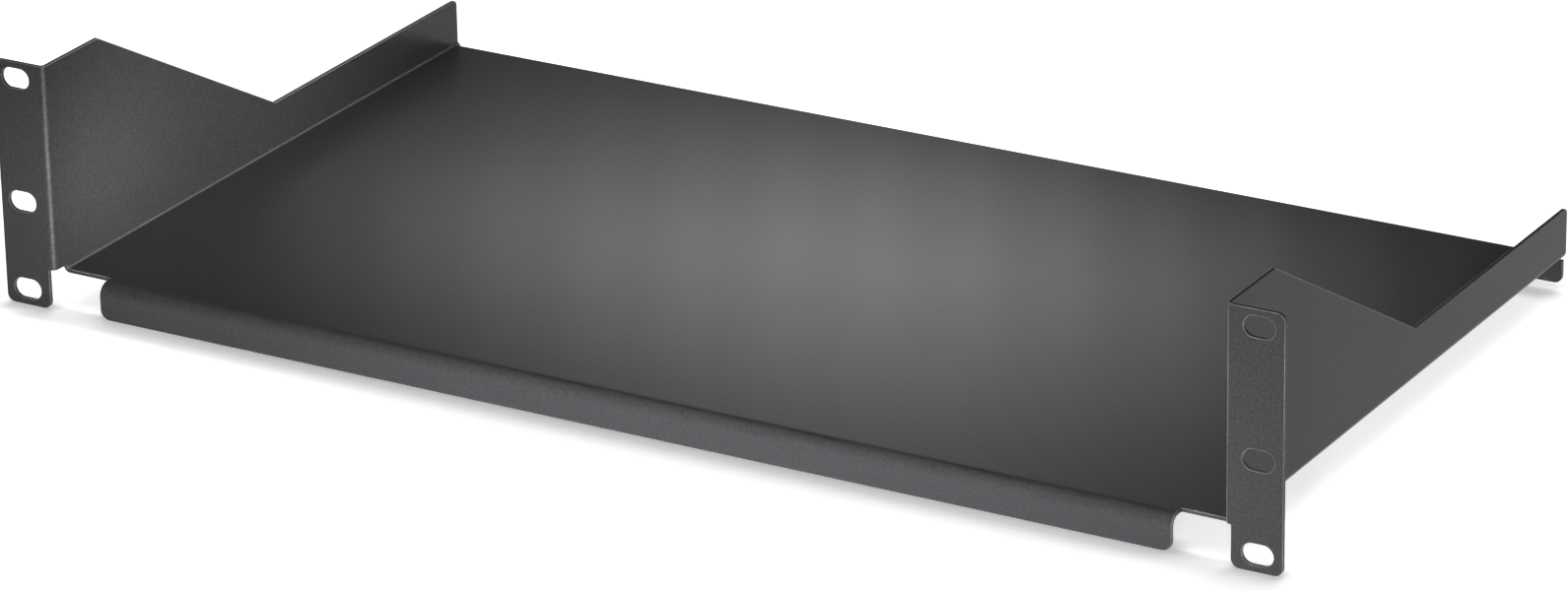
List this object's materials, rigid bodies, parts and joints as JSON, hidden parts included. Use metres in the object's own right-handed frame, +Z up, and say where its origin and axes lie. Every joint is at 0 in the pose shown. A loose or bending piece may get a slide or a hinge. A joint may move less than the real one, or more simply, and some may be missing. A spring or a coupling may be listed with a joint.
{
  "type": "rack shelf",
  "caption": "Fixed cantilever rack shelf folded from sheet steel, with a plain deck, sloped side walls, slotted mounting ears and turned-down front and rear lips.",
  "frame": {"origin": "middle of the shelf's width and depth, level with the bottom edges of the mounting ears", "axes": "+X across the rack, to the right as seen from the room; +Y from the mounting ears towards the back of the rack; +Z up"},
  "size_m": [0.4826, 0.254, 0.0881],
  "materials": {
    "powder_coat": "satin black powder coat on steel"
  },
  "bodies": {
    "root": {"rack_shelf": "powder_coat"}
  },
  "joints": []
}
